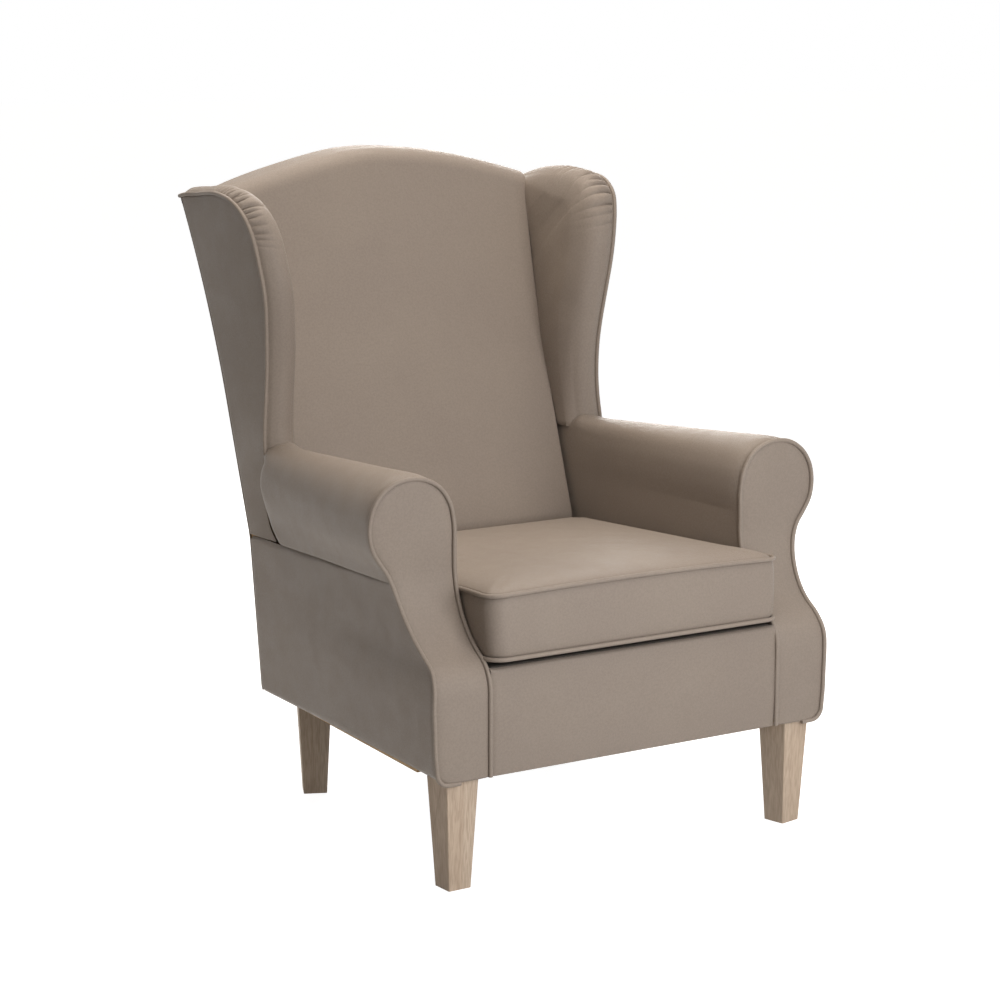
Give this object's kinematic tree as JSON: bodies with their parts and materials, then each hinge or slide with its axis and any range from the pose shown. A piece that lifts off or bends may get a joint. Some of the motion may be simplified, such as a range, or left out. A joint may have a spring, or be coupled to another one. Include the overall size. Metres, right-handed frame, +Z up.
{
  "type": "wing armchair",
  "caption": "High back wing armchair in leatherette with rolled arms, piped edges, a loose zipped box cushion on a sprung seat, and tapered square oak legs.",
  "frame": {"origin": "on the floor, under the middle of the chair's bounding box", "axes": "+Z up, the front of the chair faces -Y, +X is to the right as seen from the front"},
  "size_m": [0.834, 0.8687, 1.06],
  "materials": {
    "leatherette": "fine matt grain, soft sheen",
    "padded_leatherette": "fine matt grain, soft sheen, over padding",
    "piping": "self piping, soft sheen",
    "cushion_foam": "open foam in a fibre wrap",
    "oak": "pale washed oak, matt lacquer",
    "frame_timber": "planed, unfinished",
    "wing_plywood": "sanded plywood",
    "deck_cloth": "plain woven cloth over felt",
    "steel": "plain zinc",
    "webbing": "woven elastic webbing",
    "dust_cloth": "thin non-woven cloth",
    "glide_plastic": "moulded, matt",
    "zip_tape": "woven tape with coil teeth",
    "zip_metal": "satin nickel"
  },
  "bodies": {
    "chair": {"back_lower_rail": "frame_timber", "back_top_rail": "frame_timber", "back_webbing": "webbing", "corner_blocks": "frame_timber", "dust_cover": "dust_cloth", "foot_glides": "glide_plastic", "front_border_cover": "leatherette", "front_left_leg": "oak", "front_right_leg": "oak", "front_seat_rail": "frame_timber", "inside_back_pad": "padded_leatherette", "left_arm_facing": "leatherette", "left_arm_pad": "padded_leatherette", "left_arm_piping": "piping", "left_arm_post": "frame_timber", "left_arm_rail": "frame_timber", "left_arm_tack_rail": "frame_timber", "left_back_post": "frame_timber", "left_outside_arm_cover": "leatherette", "left_outside_wing_cover": "leatherette", "left_seat_rail": "frame_timber", "left_wing_board": "wing_plywood", "left_wing_pad": "padded_leatherette", "left_wing_piping": "piping", "leg_bolts": "steel", "leg_plates": "steel", "outside_back_cover": "leatherette", "rear_left_leg": "oak", "rear_right_leg": "oak", "rear_seat_rail": "frame_timber", "right_arm_facing": "leatherette", "right_arm_pad": "padded_leatherette", "right_arm_piping": "piping", "right_arm_post": "frame_timber", "right_arm_rail": "frame_timber", "right_arm_tack_rail": "frame_timber", "right_back_post": "frame_timber", "right_outside_arm_cover": "leatherette", "right_outside_wing_cover": "leatherette", "right_seat_rail": "frame_timber", "right_wing_board": "wing_plywood", "right_wing_pad": "padded_leatherette", "right_wing_piping": "piping", "seat_deck": "deck_cloth", "seat_springs": "steel", "spring_clips": "steel"},
    "seat_cushion": {"seat_cushion_cover": "leatherette", "seat_cushion_foam": "cushion_foam", "cushion_top_piping": "piping", "cushion_bottom_piping": "piping", "cushion_zip": "zip_tape"},
    "zip_slider": {"zip_slider": "zip_metal"}
  },
  "joints": [
    {"name": "cushion_lift", "type": "slide", "parent": "chair", "child": "seat_cushion", "axis": [0, -0.6, 0.8], "range_m": [0, 0.5]},
    {"name": "zip_run", "type": "slide", "parent": "seat_cushion", "child": "zip_slider", "axis": [1, 0, 0], "range_m": [0, 0.4]}
  ]
}
